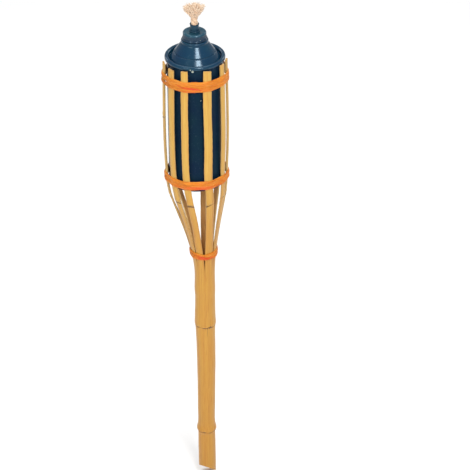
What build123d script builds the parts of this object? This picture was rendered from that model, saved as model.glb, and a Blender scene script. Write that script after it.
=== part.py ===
from build123d import *
import os
from math import cos, radians, sin, tan

# Bamboo garden torch: a hollow culm whose upper half is split into nine staves, a basket of
# those staves held by three cane bands, a tinplate oil canister that lifts out of the basket,
# and a screw cap that carries the wick.
# Millimetres, +Z up. The origin is on the pole's axis at the lowest full round section, where
# the slanting foot cut begins. Angles round the torch are in degrees, 0 at the front (-Y) and
# growing towards +X.

# ---- driving dimensions ---------------------------------------------------------------------

CULM_R = 12.2  # outside of the culm where it is split
CULM_WALL = 3.0
FOOT_R, TIP_R = 10.8, 10.5  # round foot that goes into the ground, and its slightly shrunken tip
FOOT_CUT_X, FOOT_CUT_Y = -0.414, -0.74  # slope of the foot cut towards +X and +Y
SEPTUM = 2.0  # wall that closes the culm at each node
LOWER_NODE_Z, UPPER_NODE_Z = 53.5, 211.0
SPLIT_Z = 251.5  # the staves begin here
# The culm's outside above its foot: radius, and height above the node that it belongs to.
LOWER_NODE = [(FOOT_R, -5.0), (11.5, -1.6), (12.3, 0.0), (12.1, 2.0), (11.0, 8.0), (10.6, 16.0)]
UPPER_NODE = [
    (11.5, -54.0),
    (12.0, -8.0),
    (12.3, -1.4),
    (12.9, 0.0),
    (12.8, 2.0),
    (12.6, 12.0),
    (12.3, 25.0),
]

BASKET_X = -8.0  # the basket and its canister stand beside the pole's axis
BASKET_R = 37.9  # outside of the staves at their tops
UPRIGHT_R = 36.4  # once the staves have spread this far, they stand round the basket's axis
STAVE_THICK_TOP = 2.5
STAVE_GAP = 0.25  # between neighbouring staves at the split
# Each stave's width along the culm's outside, its angle in the basket and its top's height
# above or below the shoulder's foot.
STAVES = [
    (8.7, -77.0, -3.0),
    (9.8, -48.5, -4.0),
    (9.1, -19.8, -1.6),
    (10.9, 21.8, -1.4),
    (9.3, 57.5, -1.0),
    (7.6, 79.0, 0.4),
    (7.6, 128.0, -1.8),
    (7.3, 162.5, -0.8),
    (6.4, 222.5, -2.4),
]
WIDEST_STAVE = 3  # this one leaves the culm at WIDEST_STAVE_ANGLE, and the others follow on
WIDEST_STAVE_ANGLE = 26.6
# Below the basket all its staves have turned by this angle; they straighten over these heights.
TWIST, TWIST_Z = 5.0, (400.0, 436.0)
# Height and outside radius of the staves, from the split to their tops.
FLARE = [
    (SPLIT_Z, CULM_R),
    (275.0, 12.3),
    (300.0, 13.4),
    (314.0, 15.3),
    (325.0, 17.2),
    (350.0, 22.4),
    (375.0, 28.7),
    (393.0, 33.2),
    (405.0, 35.6),
    (418.5, 37.1),
    (431.0, 37.5),
    (455.0, 38.4),
    (490.0, 39.0),
    (525.0, 38.7),
    (548.0, 38.3),
    (562.0, 38.05),
]

BAND_THICK = 0.9
BAND_FIT = 0.06  # the cane lies this far off the staves
# Lower and upper edge of each band; each is two turns of cane edge to edge.
NECK_BAND = (308.5, 319.5)
LOWER_BAND = (418.1, 429.9)
UPPER_BAND = (547.0, 560.9)
TURN_GROOVE = 0.4

SHOULDER_Z = 574.9  # datum of the canister's top: the foot of its shoulder
CAN_Z = 414.5  # lowest edge of the canister
CAN_R = 32.6
SHEET = 0.5  # tinplate and its paint
RIM_R, RIM_BEAD = 35.0, 2.4
RIM_RISE, RIM_SKIRT = 3.2, 4.0  # the rim's top above the shoulder's foot, and the rim's height
GUTTER_R, GUTTER_Z = 29.6, -1.4  # the gutter between the rim and the shoulder
BOTTOM_SEAM_R, BOTTOM_SEAM_H, SEAM_ROUND = 33.3, 3.2, 0.4
PLATE_Z = 2.0  # the bottom plate stands this far above the canister's lowest edge
SIDE_SEAM_ANGLE, SIDE_SEAM_W = 150.0, 3.0

# Outside of the pressed shoulder inside its gutter: radius and height above its foot. The step near
# the middle is a stamped ring.
SHOULDER = [(22.7, 9.2), (22.1, 9.7), (19.4, 13.0), (17.4, 15.6), (16.2, 18.0)]

# Heights of the neck, cap and wick holder above the shoulder's foot.
COLLAR_R, COLLAR_Z0, COLLAR_Z1 = 15.8, 19.2, 22.8
NECK_R, NECK_WALL, NECK_TOP = 12.0, 0.6, 30.7
THREAD_PITCH, THREAD_TURNS, THREAD_DEPTH, THREAD_Z0 = 3.0, 1.75, 0.6, 24.2
THREAD_ROOT, THREAD_CREST = 0.7, 0.25  # half the ridge's width, at the neck and at its crest
CAP_R, CAP_IN_R, CAP_BEAD_R = 13.6, 12.85, 14.6
CAP_Z0, CAP_BEAD_Z, CAP_Z1 = 23.2, 25.2, 32.5
CAP_TOP_WALL, CAP_ROUND, CAP_DISH_R, CAP_DISH = 0.8, 2.2, 9.6, 0.35
CAP_HOLE_R = 5.17
KNURLS, KNURL_DEEP, KNURL_W, KNURL_END = 40, 0.3, 0.8, 0.5
SEAL_IN_R, SEAL_R, SEAL_THICK, SEAL_FIT = 7.0, 12.6, 0.9, 0.05
TUBE_R, TUBE_IN_R, TUBE_Z0, TUBE_Z1 = 5.1, 4.65, 14.0, 42.0
TUBE_COLLAR_R, TUBE_COLLAR_H, TUBE_FLANGE_R, TUBE_FLANGE_H = 6.1, 1.5, 6.5, 0.7
TUBE_LIP = 0.25
TUBE_PLAY = 0.1  # between the cap's top and the tube's collar and flange

WICK_R = 4.5
WICK_TOP = 41.0  # the rope's frayed tip begins here, just inside the tube's mouth
# The tip's outside: radius and height above the rope's end.
WICK_TIP = [(4.4, 0.0), (4.4, 9.0), (5.2, 13.0), (8.0, 18.0), (9.6, 22.0), (8.6, 25.0), (5.0, 27.0)]
WICK_TIP_TOP = 27.5
# The wick hangs from its tube almost plumb; each point is its place beside the canister's axis
# and its height above the shoulder's foot.
WICK_ROUTE = [
    (0.0, 0.0, WICK_TOP),
    (0.0, 0.0, -12.0),
    (-1.2, 0.6, -66.0),
    (-0.6, 2.2, -110.0),
    (-1.8, 1.4, -147.0),
]

# ---- shared shapes --------------------------------------------------------------------------


def direction(angle):
    """The flat direction of an angle round the torch."""
    return Vector(sin(radians(angle)), -cos(radians(angle)), 0)


def turned(points, z=0.0, x=BASKET_X):
    """The solid that an outline of (radius, height) makes, turned about the upright axis at x."""
    outline = Polyline(*[(r, 0, h) for r, h in points], close=True)
    return Location((x, 0, z)) * revolve(make_face(outline), Axis.Z, 360)


# ---- culm and staves ------------------------------------------------------------------------


def pole():
    """The unsplit culm: a foot and two internodes, with a swollen ring and a septum at each node."""
    low, high = LOWER_NODE_Z, UPPER_NODE_Z
    inside_low, inside_high = FOOT_R - CULM_WALL, CULM_R - CULM_WALL
    foot = -2 * FOOT_R
    outside = [(0, foot), (TIP_R, foot), (FOOT_R, 0)]
    outside += [(r, low + h) for r, h in LOWER_NODE]
    outside += [(r, high + h) for r, h in UPPER_NODE]
    outside += [(CULM_R, SPLIT_Z), (0, SPLIT_Z)]
    solid = turned(outside, x=0)
    hollows = [
        [(0, foot), (inside_low, foot), (inside_low, low - SEPTUM), (0, low - SEPTUM)],
        [(0, low), (inside_low, low), (inside_high, high - SEPTUM), (0, high - SEPTUM)],
        [(0, high), (inside_high, high), (inside_high, SPLIT_Z), (0, SPLIT_Z)],
    ]
    for hollow in hollows:
        solid -= turned(hollow, x=0)
    # The cut plane meets the foot's skin at the origin's level on its highest side.
    drop = (FOOT_CUT_X**2 + FOOT_CUT_Y**2) ** 0.5 * FOOT_R
    plane = Plane(origin=(0, 0, -drop), z_dir=(FOOT_CUT_X, FOOT_CUT_Y, -1))
    size = 8 * FOOT_R
    below = Box(size, size, size, align=(Align.CENTER, Align.CENTER, Align.MIN))
    return solid - plane * below


def root_angles():
    """The angle at which each stave leaves the culm: side by side all the way round."""
    degrees = 360.0 / sum(width for width, _, _ in STAVES)
    starts = [sum(width for width, _, _ in STAVES[:i]) * degrees for i in range(len(STAVES))]
    middles = [start + stave[0] * degrees / 2 for start, stave in zip(starts, STAVES)]
    turn = WIDEST_STAVE_ANGLE - middles[WIDEST_STAVE]
    return [middle + turn for middle in middles]


def spread(radius):
    """How far a stave of that outside radius has gone from the culm, 0, to the basket, 1."""
    return min(1.0, (radius - CULM_R) / (UPRIGHT_R - CULM_R))


def basket_angle(index, z):
    """A stave's angle round the basket's axis at a height."""
    low, high = TWIST_Z
    share = min(1.0, max(0.0, (z - low) / (high - low)))
    return STAVES[index][1] + TWIST * (1 - share)


def stave_centre(index, radius, z):
    """The middle of the culm that a stave was part of, carried outwards with the stave."""
    out = direction(basket_angle(index, z))
    return Vector(BASKET_X * spread(radius), 0, z) + out * (radius - CULM_R)


def stave_section(index, radius, z):
    """A stave cut level: the culm's round skin outside, split sides, and a flat scraped back."""
    width = STAVES[index][0]
    root_angle = root_angles()[index]
    angle = root_angle + ((basket_angle(index, z) - root_angle + 180) % 360 - 180) * spread(radius)
    half = radians(360.0 * width / sum(w for w, _, _ in STAVES) / 2)
    half -= STAVE_GAP / 2 / CULM_R
    back = CULM_R - CULM_WALL + (CULM_WALL - STAVE_THICK_TOP) * spread(radius)
    centre, out, side = stave_centre(index, radius, z), direction(angle), direction(angle + 90)
    left, right = (centre + out * (CULM_R * cos(half)) + side * (k * CULM_R * sin(half)) for k in (-1, 1))
    back_left, back_right = (centre + out * back + side * (k * back * tan(half)) for k in (-1, 1))
    skin = ThreePointArc(left, centre + out * CULM_R, right)
    edges = [skin, Line(right, back_right), Line(back_right, back_left), Line(back_left, left)]
    return make_face(Wire(edges))


def stave(index):
    """One stave, from the split to its top."""
    top = SHOULDER_Z + STAVES[index][2]
    return loft([stave_section(index, radius, z) for z, radius in FLARE + [(top, BASKET_R)]])


# ---- bands ----------------------------------------------------------------------------------


def radius_at(z):
    """The staves' outside radius at a height."""
    for (z0, r0), (z1, r1) in zip(FLARE, FLARE[1:]):
        if z0 <= z <= z1:
            return r0 + (r1 - r0) * (z - z0) / (z1 - z0)
    return BASKET_R


def hull_wire(z, beyond):
    """The tight loop round all the staves at a height, standing off the culm skin by beyond."""
    middles = [stave_centre(i, radius_at(z), z) for i in range(len(STAVES))]
    loop = make_face(Polyline(*middles, close=True))
    return offset(loop, CULM_R + beyond, kind=Kind.ARC)


def ring(z0, z1, inner, outer):
    """A closed ring of cane between two heights, pulled straight from stave to stave."""
    outside = loft([hull_wire(z0, outer), hull_wire(z1, outer)], ruled=True)
    return outside - loft([hull_wire(z0, inner), hull_wire(z1, inner)], ruled=True)


def band(z0, z1):
    """Two turns of flat cane edge to edge, with the groove between them."""
    low, high = (z0 + z1 - TURN_GROOVE) / 2, (z0 + z1 + TURN_GROOVE) / 2
    groove = ring(low, high, BAND_FIT + BAND_THICK / 2, 2 * BAND_THICK)
    return ring(z0, z1, BAND_FIT, BAND_FIT + BAND_THICK) - groove


# ---- canister -------------------------------------------------------------------------------


def canister_body():
    """The rolled tinplate tube, with its lapped side seam."""
    z0, z1 = CAN_Z + BOTTOM_SEAM_H, SHOULDER_Z + RIM_RISE - RIM_SKIRT
    tube = turned([(CAN_R - SHEET, z0), (CAN_R, z0), (CAN_R, z1), (CAN_R - SHEET, z1)])
    middle = direction(SIDE_SEAM_ANGLE) * (CAN_R - SHEET / 2)
    seam = Box(SIDE_SEAM_W, 2 * SHEET, z1 - z0, align=(Align.CENTER, Align.CENTER, Align.MIN))
    place = Location((BASKET_X, 0, z0)) * Location(middle, (0, 0, SIDE_SEAM_ANGLE))
    inside = turned([(0, z0), (CAN_R - SHEET, z0), (CAN_R - SHEET, z1), (0, z1)])
    return tube + (place * seam - inside)


def canister_top():
    """The pressed shoulder: a rolled rim, a stepped cone, a collar and the threaded neck."""
    bead_middle, bead_in = RIM_R - RIM_BEAD, RIM_R - 2 * RIM_BEAD
    bead_z, skirt_z, gutter_in = RIM_RISE - RIM_BEAD, RIM_RISE - RIM_SKIRT, GUTTER_Z - SHEET
    bead = [
        (bead_middle + RIM_BEAD * cos(radians(a)), bead_z + RIM_BEAD * sin(radians(a)))
        for a in range(0, 181, 15)
    ]
    neck_in = NECK_R - NECK_WALL
    outside = [
        (RIM_R, skirt_z),
        *bead,
        (bead_in, GUTTER_Z),
        (GUTTER_R, GUTTER_Z),
        *SHOULDER,
        (COLLAR_R, COLLAR_Z0),
        (COLLAR_R, COLLAR_Z1 - SHEET),
        (COLLAR_R - SHEET, COLLAR_Z1),
        (NECK_R, COLLAR_Z1),
        (NECK_R, NECK_TOP),
    ]
    inside = [
        (neck_in, NECK_TOP),
        (neck_in, COLLAR_Z1 - SHEET),
        (COLLAR_R - SHEET, COLLAR_Z0 - SHEET),
        *[(r - SHEET, h - SHEET) for r, h in reversed(SHOULDER)],
        (GUTTER_R - SHEET, gutter_in),
        (bead_in + SHEET, gutter_in),
        (bead_in + SHEET, skirt_z),
    ]
    thread = Location((BASKET_X, 0, SHOULDER_Z + THREAD_Z0)) * thread_ridge()
    return turned(outside + inside, SHOULDER_Z) + thread


def thread_ridge():
    """The helical ridge of the neck's thread, rooted a little inside the neck's wall."""
    root, crest = NECK_R - NECK_WALL / 3, THREAD_DEPTH + NECK_WALL / 3
    path = Helix(THREAD_PITCH, THREAD_PITCH * THREAD_TURNS, root)
    flank = [(0, -THREAD_ROOT), (crest, -THREAD_CREST), (crest, THREAD_CREST), (0, THREAD_ROOT)]
    tooth = Polyline(*flank, close=True)
    start = Plane(path @ 0, x_dir=(1, 0, 0), z_dir=path % 0)
    return sweep(start * make_face(tooth), path, is_frenet=True)


def canister_bottom():
    """The pressed end: a flat plate set up inside its seam ring."""
    inner, edge = CAN_R - SHEET, SEAM_ROUND
    lower = [(0, PLATE_Z), (inner - 3 * edge, PLATE_Z), (inner - edge, 0.0), (BOTTOM_SEAM_R - edge, 0.0)]
    upper = [
        (BOTTOM_SEAM_R, edge),
        (BOTTOM_SEAM_R, BOTTOM_SEAM_H - edge),
        (BOTTOM_SEAM_R - edge, BOTTOM_SEAM_H),
        (inner - SHEET, BOTTOM_SEAM_H),
        (inner - SHEET, PLATE_Z + SHEET),
        (0, PLATE_Z + SHEET),
    ]
    return turned(lower + upper, CAN_Z)


# ---- cap, holder and wick -------------------------------------------------------------------


def screw_cap():
    """The pressed cap: a dished top with a hole for the wick tube, a knurled skirt and a bead."""
    corner = [
        (CAP_R - CAP_ROUND + CAP_ROUND * cos(radians(a)), CAP_Z1 - CAP_ROUND + CAP_ROUND * sin(radians(a)))
        for a in range(0, 91, 15)
    ]
    dish, inside_top = CAP_Z1 - CAP_DISH, CAP_Z1 - CAP_TOP_WALL
    bead_round = CAP_BEAD_R - CAP_R
    skirt = [
        (CAP_IN_R, CAP_Z0),
        (CAP_BEAD_R - bead_round / 2, CAP_Z0),
        (CAP_BEAD_R, CAP_Z0 + bead_round / 2),
        (CAP_BEAD_R, CAP_BEAD_Z - bead_round),
        (CAP_R, CAP_BEAD_Z),
    ]
    top = [
        (CAP_DISH_R + CAP_DISH, CAP_Z1),
        (CAP_DISH_R, dish),
        (CAP_HOLE_R, dish),
        (CAP_HOLE_R, inside_top),
        (CAP_IN_R, inside_top),
    ]
    cap = turned(skirt + corner + top, SHOULDER_Z)
    low, high = CAP_BEAD_Z + KNURL_END, CAP_Z1 - CAP_ROUND - KNURL_END
    groove = Box(KNURL_W, 2 * KNURL_DEEP, high - low, align=(Align.CENTER, Align.CENTER, Align.MIN))
    for i in range(KNURLS):
        angle = i * 360.0 / KNURLS
        middle = direction(angle) * CAP_R
        cap -= Location((BASKET_X + middle.X, middle.Y, SHOULDER_Z + low), (0, 0, angle)) * groove
    return cap


def cap_seal():
    """The flat ring that the cap presses on the neck."""
    z0, z1 = NECK_TOP + SEAL_FIT, NECK_TOP + SEAL_FIT + SEAL_THICK
    return turned([(SEAL_IN_R, z0), (SEAL_R, z0), (SEAL_R, z1), (SEAL_IN_R, z1)], SHOULDER_Z)


def wick_tube():
    """The tube that grips the wick, with the collar and the flange that hold it in the cap."""
    collar_low = CAP_Z1 - CAP_DISH + TUBE_PLAY
    collar_high = collar_low + TUBE_COLLAR_H
    flange_high = CAP_Z1 - CAP_TOP_WALL - TUBE_PLAY
    flange_low = flange_high - TUBE_FLANGE_H
    lip = TUBE_R + TUBE_LIP
    outside = [
        (TUBE_R, TUBE_Z0),
        (TUBE_R, flange_low),
        (TUBE_FLANGE_R, flange_low),
        (TUBE_FLANGE_R, flange_high),
        (TUBE_R, flange_high),
        (TUBE_R, collar_low),
        (TUBE_COLLAR_R, collar_low),
        (TUBE_COLLAR_R, collar_high - TUBE_LIP),
        (TUBE_COLLAR_R - TUBE_LIP, collar_high),
        (TUBE_R, collar_high),
        (TUBE_R, TUBE_Z1 - 5 * TUBE_LIP),
        (lip, TUBE_Z1 - 4 * TUBE_LIP),
        (lip, TUBE_Z1 - TUBE_LIP),
        (TUBE_R, TUBE_Z1),
    ]
    return turned([(TUBE_IN_R, TUBE_Z0), *outside, (TUBE_IN_R, TUBE_Z1)], SHOULDER_Z)


def wick():
    """The rope from the tube's mouth to its lower end: straight runs joined by the largest arcs."""
    points = [Vector(BASKET_X + x, y, SHOULDER_Z + z) for x, y, z in WICK_ROUTE]
    runs = [b - a for a, b in zip(points, points[1:])]
    radii = []
    for before, after in zip(runs, runs[1:]):
        turn = radians(before.get_angle(after))
        radii.append(0.45 * min(before.length, after.length) / tan(turn / 2))
    print("wick radii", [round(r) for r in radii], "length", round(sum(run.length for run in runs), 1))
    path = FilletPolyline(*points, radius=radii)
    section = Plane(points[0], z_dir=runs[0]) * Circle(WICK_R)
    solid = sweep(section, path)
    print("wick volume over section times length", round(solid.volume / (section.area * path.length), 4))
    return solid


def wick_tip():
    """The end that stands out of the tube, opened into a brush."""
    return turned([(0, 0), *WICK_TIP, (0, WICK_TIP_TOP)], SHOULDER_Z + WICK_TOP)


# ---- export ---------------------------------------------------------------------------------

PARTS = {
    "pole": pole,
    "neck_band": lambda: band(*NECK_BAND),
    "lower_band": lambda: band(*LOWER_BAND),
    "upper_band": lambda: band(*UPPER_BAND),
    "canister_body": canister_body,
    "canister_top": canister_top,
    "canister_bottom": canister_bottom,
    "screw_cap": screw_cap,
    "cap_seal": cap_seal,
    "wick_tube": wick_tube,
    "wick": wick,
    "wick_tip": wick_tip,
}

os.makedirs("parts", exist_ok=True)
for name, make in PARTS.items():
    export_step(make(), f"parts/{name}.step")
for index in range(len(STAVES)):
    export_step(stave(index), f"parts/stave_{index + 1}.step")
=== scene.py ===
"""The looks of the bamboo garden torch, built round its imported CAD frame. Metres, +Z up, front at -Y."""

import math
import random

import bmesh
import bpy
import numpy as np
from mathutils import Matrix, Vector


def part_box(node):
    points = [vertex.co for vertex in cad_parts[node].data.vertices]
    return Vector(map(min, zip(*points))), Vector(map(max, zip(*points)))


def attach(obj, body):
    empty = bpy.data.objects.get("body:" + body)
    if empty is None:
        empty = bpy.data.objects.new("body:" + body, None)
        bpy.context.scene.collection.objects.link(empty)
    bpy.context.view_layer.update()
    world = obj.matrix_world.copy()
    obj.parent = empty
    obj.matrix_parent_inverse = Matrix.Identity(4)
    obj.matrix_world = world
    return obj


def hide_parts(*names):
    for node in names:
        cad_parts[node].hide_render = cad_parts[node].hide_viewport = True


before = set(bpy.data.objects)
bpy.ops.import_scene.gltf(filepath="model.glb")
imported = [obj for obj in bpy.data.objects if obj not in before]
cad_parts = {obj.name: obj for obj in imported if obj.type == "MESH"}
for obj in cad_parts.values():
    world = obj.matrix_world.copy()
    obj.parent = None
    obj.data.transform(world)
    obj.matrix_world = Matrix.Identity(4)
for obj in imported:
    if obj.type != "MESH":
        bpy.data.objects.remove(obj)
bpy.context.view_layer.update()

MM = 0.001

# ---- reading the frame ----------------------------------------------------------------------

EDGES = {}


def cut_points(node, z):
    """Where a level plane cuts a CAD node's edges: an array of (x, y)."""
    if node not in EDGES:
        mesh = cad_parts[node].data
        points = np.array([v.co for v in mesh.vertices])
        ends = np.array([e.vertices for e in mesh.edges])
        EDGES[node] = points[ends[:, 0]], points[ends[:, 1]]
    a, b = EDGES[node]
    cut = (a[:, 2] - z) * (b[:, 2] - z) < 0
    a, b = a[cut], b[cut]
    share = (z - a[:, 2]) / (b[:, 2] - a[:, 2])
    return (a + (b - a) * share[:, None])[:, :2]


def outline(node, z, apart=0.02 * MM):
    """The tight loop round a node's cut, anticlockwise from above, with no two points in one place."""
    points = sorted({(round(x, 7), round(y, 7)) for x, y in cut_points(node, z)})

    def half(run):
        chain = []
        for p in run:
            while len(chain) > 1:
                (ax, ay), (bx, by) = chain[-2], chain[-1]
                if (bx - ax) * (p[1] - ay) - (by - ay) * (p[0] - ax) > 0:
                    break
                chain.pop()
            chain.append(p)
        return chain[:-1]

    loop = np.array(half(points) + half(points[::-1]))
    gaps = lengths(loop - np.roll(loop, 1, axis=0))
    return loop[gaps > apart]


def span(node):
    """A node's lowest and highest level."""
    low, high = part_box(node)
    return low.z, high.z


def middle(node):
    """The upright axis through the middle of a node."""
    low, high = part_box(node)
    return np.array([(low.x + high.x) / 2, (low.y + high.y) / 2])


def radius(node):
    """Half of a round node's widest measure."""
    low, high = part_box(node)
    return (high.x - low.x) / 2


STAVES = sorted(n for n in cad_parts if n.startswith("stave_"))
POLE_FOOT, SPLIT_Z = span("pole")
CAN_X, CAN_Y = middle("canister_body")
RIM_UP = 3.2  # the rolled rim's top above the shoulder's foot, millimetres
RIM_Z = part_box("canister_body")[1].z + 4.0 * MM
SHOULDER_Z = RIM_Z - RIM_UP * MM  # the shoulder's foot, the datum of the canister's top

# ---- mesh helpers ---------------------------------------------------------------------------


def wander(at, seed, wave, size):
    """A smooth random line: at is where, wave its usual length, size its usual height."""
    rng = random.Random(seed)
    total = np.zeros_like(np.asarray(at, float))
    for _ in range(5):
        length = wave * rng.uniform(0.45, 1.6)
        total += rng.uniform(0.5, 1.0) * np.sin(2 * math.pi * (at / length + rng.random()))
    return size * total / 2.0


def bell(x):
    return np.exp(-np.square(x))


def ease(x):
    """0 below 0, 1 above 1 and smooth between."""
    x = np.clip(x, 0.0, 1.0)
    return x * x * (3 - 2 * x)


def lengths(vectors):
    """The length of each row's vector."""
    return np.linalg.norm(vectors, axis=-1)


def full_turn(count):
    """Even angles round a circle. An angle is 0 at the front and grows to the right."""
    return np.linspace(0, 2 * math.pi, count, endpoint=False)


def stack(*parts):
    """Arrays that broadcast together, side by side as the parts of vectors."""
    return np.stack(np.broadcast_arrays(*parts), -1)


class Form:
    """Gathers lofted tubes into one mesh, with named values on its points."""

    def __init__(self):
        self.count, self.points, self.faces, self.marks = 0, [], [], []

    def tube(self, rows, closed=False, caps=(True, True), **marks):
        """Rows of points, each row a ring. closed joins the last row to the first."""
        rows = np.asarray(rows, float)
        n, m = rows.shape[:2]
        index = self.count + np.arange(n * m).reshape(n, m)
        ahead = np.roll(index, -1, axis=0) if closed else index[1:]
        here = index if closed else index[:-1]
        quads = np.stack([here, np.roll(here, -1, 1), np.roll(ahead, -1, 1), ahead], -1)
        self.faces += quads.reshape(-1, 4).tolist()
        if caps[0] and not closed:
            self.faces.append(index[0][::-1].tolist())
        if caps[1] and not closed:
            self.faces.append(index[-1].tolist())
        self.points.append(rows.reshape(-1, 3))
        self.marks.append((n, m, marks))
        self.count += n * m

    def piece(self, name, material, body, slot, replaces=(), sharp=40):
        mesh = bpy.data.meshes.new(name)
        mesh.from_pydata(np.vstack(self.points).tolist(), [], self.faces)
        names = sorted({k for _, _, marks in self.marks for k in marks})
        for key in names:
            wide = key == "grain"
            kind = "FLOAT_VECTOR" if wide else "FLOAT"
            shape = (3,) if wide else ()
            parts = []
            for n, m, marks in self.marks:
                value = np.asarray(marks.get(key, 0.0), float)
                parts.append(np.broadcast_to(value, (n, m) + shape).reshape(n * m, -1))
            data = np.vstack(parts).astype(np.float32).ravel()
            mesh.attributes.new(key, kind, "POINT").data.foreach_set("vector" if wide else "value", data)
        work = bmesh.new()
        work.from_mesh(mesh)
        bmesh.ops.recalc_face_normals(work, faces=work.faces)
        work.to_mesh(mesh)
        work.free()
        mesh.shade_smooth()
        mesh.set_sharp_from_angle(angle=math.radians(sharp))
        mesh.materials.append(material)
        piece = bpy.data.objects.new(name, mesh)
        bpy.context.scene.collection.objects.link(piece)
        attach(piece, body)
        if replaces:
            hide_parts(*replaces)
        return piece


def turned(profile, centre, columns, shape=None):
    """Rows of a turned form from (radius, height) pairs. shape changes the radius by angle."""
    angles = full_turn(columns)
    rows = []
    for r, z in profile:
        reach = r if shape is None else shape(r, z, angles)
        rows.append(stack(centre[0] + reach * np.sin(angles), centre[1] - reach * np.cos(angles), z))
    return np.array(rows)


def in_metres(profile, foot):
    """A profile given in millimetres above a foot's level."""
    return [(r * MM, foot + z * MM) for r, z in profile]


def arc(r0, z0, size, start, end, steps):
    """Points on an arc about (r0, z0), angles in degrees from +r towards +z."""
    angles = np.radians(np.linspace(start, end, steps))
    return [(r0 + size * math.cos(a), z0 + size * math.sin(a)) for a in angles]


def wire(path, radii, sides=6, phase=0.0):
    """Rows of a round tube along a path, with a radius at each of its points."""
    path = np.asarray(path, float)
    along = np.gradient(path, axis=0)
    along /= lengths(along)[:, None]
    ref = np.array([0.31, 0.17, 0.93]) if abs(along[0][2]) < 0.8 else np.array([0.9, 0.4, 0.1])
    side = np.cross(along, ref)
    side /= lengths(side)[:, None]
    over = np.cross(along, side)
    turn = full_turn(sides) + phase
    radii = np.broadcast_to(radii, len(path))[:, None, None]
    ring = side[:, None] * np.cos(turn)[:, None] + over[:, None] * np.sin(turn)[:, None]
    return path[:, None] + radii * ring


# ---- materials ------------------------------------------------------------------------------


class Shader:
    """A small hand for building node materials."""

    def __init__(self, name, **constants):
        self.material = bpy.data.materials.new(name)
        self.material.use_nodes = True
        self.tree = self.material.node_tree
        self.bsdf = self.tree.nodes["Principled BSDF"]
        for key, value in constants.items():
            self.bsdf.inputs[key.replace("_", " ")].default_value = value

    def node(self, kind, **values):
        made = self.tree.nodes.new("ShaderNode" + kind)
        for key, value in values.items():
            if hasattr(made, key):
                setattr(made, key, value)
            else:
                self.put(made.inputs[key.replace("_", " ")], value)
        return made

    def put(self, socket, value):
        if isinstance(value, bpy.types.NodeSocket):
            self.tree.links.new(value, socket)
        else:
            socket.default_value = value

    def mark(self, name, output="Fac"):
        return self.node("Attribute", attribute_name=name).outputs[output]

    def grain(self, scale):
        """The grain's own coordinates, millimetres, stretched by scale."""
        mapping = self.node("Mapping")
        self.put(mapping.inputs["Vector"], self.mark("grain", "Vector"))
        mapping.inputs["Scale"].default_value = scale
        return mapping.outputs["Vector"]

    def noise(self, vector, scale, detail=3.0, rough=0.55):
        made = self.node("TexNoise", Vector=vector, Scale=scale, Detail=detail, Roughness=rough)
        return made.outputs["Fac"]

    def ramp(self, value, *stops):
        """A colour ramp of (place, colour) stops; a bare number is a grey."""
        made = self.node("ValToRGB", Fac=value)
        elements = made.color_ramp.elements
        while len(elements) < len(stops):
            elements.new(0.5)
        for element, (place, colour) in zip(elements, stops):
            element.position = place
            grey = isinstance(colour, (int, float))
            element.color = (colour, colour, colour, 1) if grey else (*colour, 1)
        return made.outputs["Color"]

    def mix(self, share, a, b, way="MIX"):
        made = self.node("Mix", data_type="RGBA", blend_type=way)
        colours = [s for s in made.inputs if s.type == "RGBA"]
        self.put(made.inputs[0], share)
        for socket, value in zip(colours, (a, b)):
            self.put(socket, (*value, 1) if isinstance(value, tuple) else value)
        return [s for s in made.outputs if s.type == "RGBA"][0]

    def math(self, how, a, b=0.0):
        made = self.node("Math", operation=how)
        self.put(made.inputs[0], a)
        self.put(made.inputs[1], b)
        return made.outputs[0]

    def over(self, under, colour, value, low, high, most):
        """A colour laid over another as value rises from low to high, up to the share most."""
        return self.mix(self.ramp(value, (low, 0.0), (high, most)), under, colour)

    def swing(self, value, size):
        """A noise's swing about its middle."""
        return self.math("MULTIPLY", self.math("SUBTRACT", value, 0.5), size)

    def bump(self, height, distance, strength=1.0, under=None):
        made = self.node("Bump", Height=height, Distance=distance, Strength=strength)
        if under is not None:
            self.put(made.inputs["Normal"], under)
        return made.outputs["Normal"]

    def finish(self, **sockets):
        for key, value in sockets.items():
            self.put(self.bsdf.inputs[key.replace("_", " ")], value)
        return self.material


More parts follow.
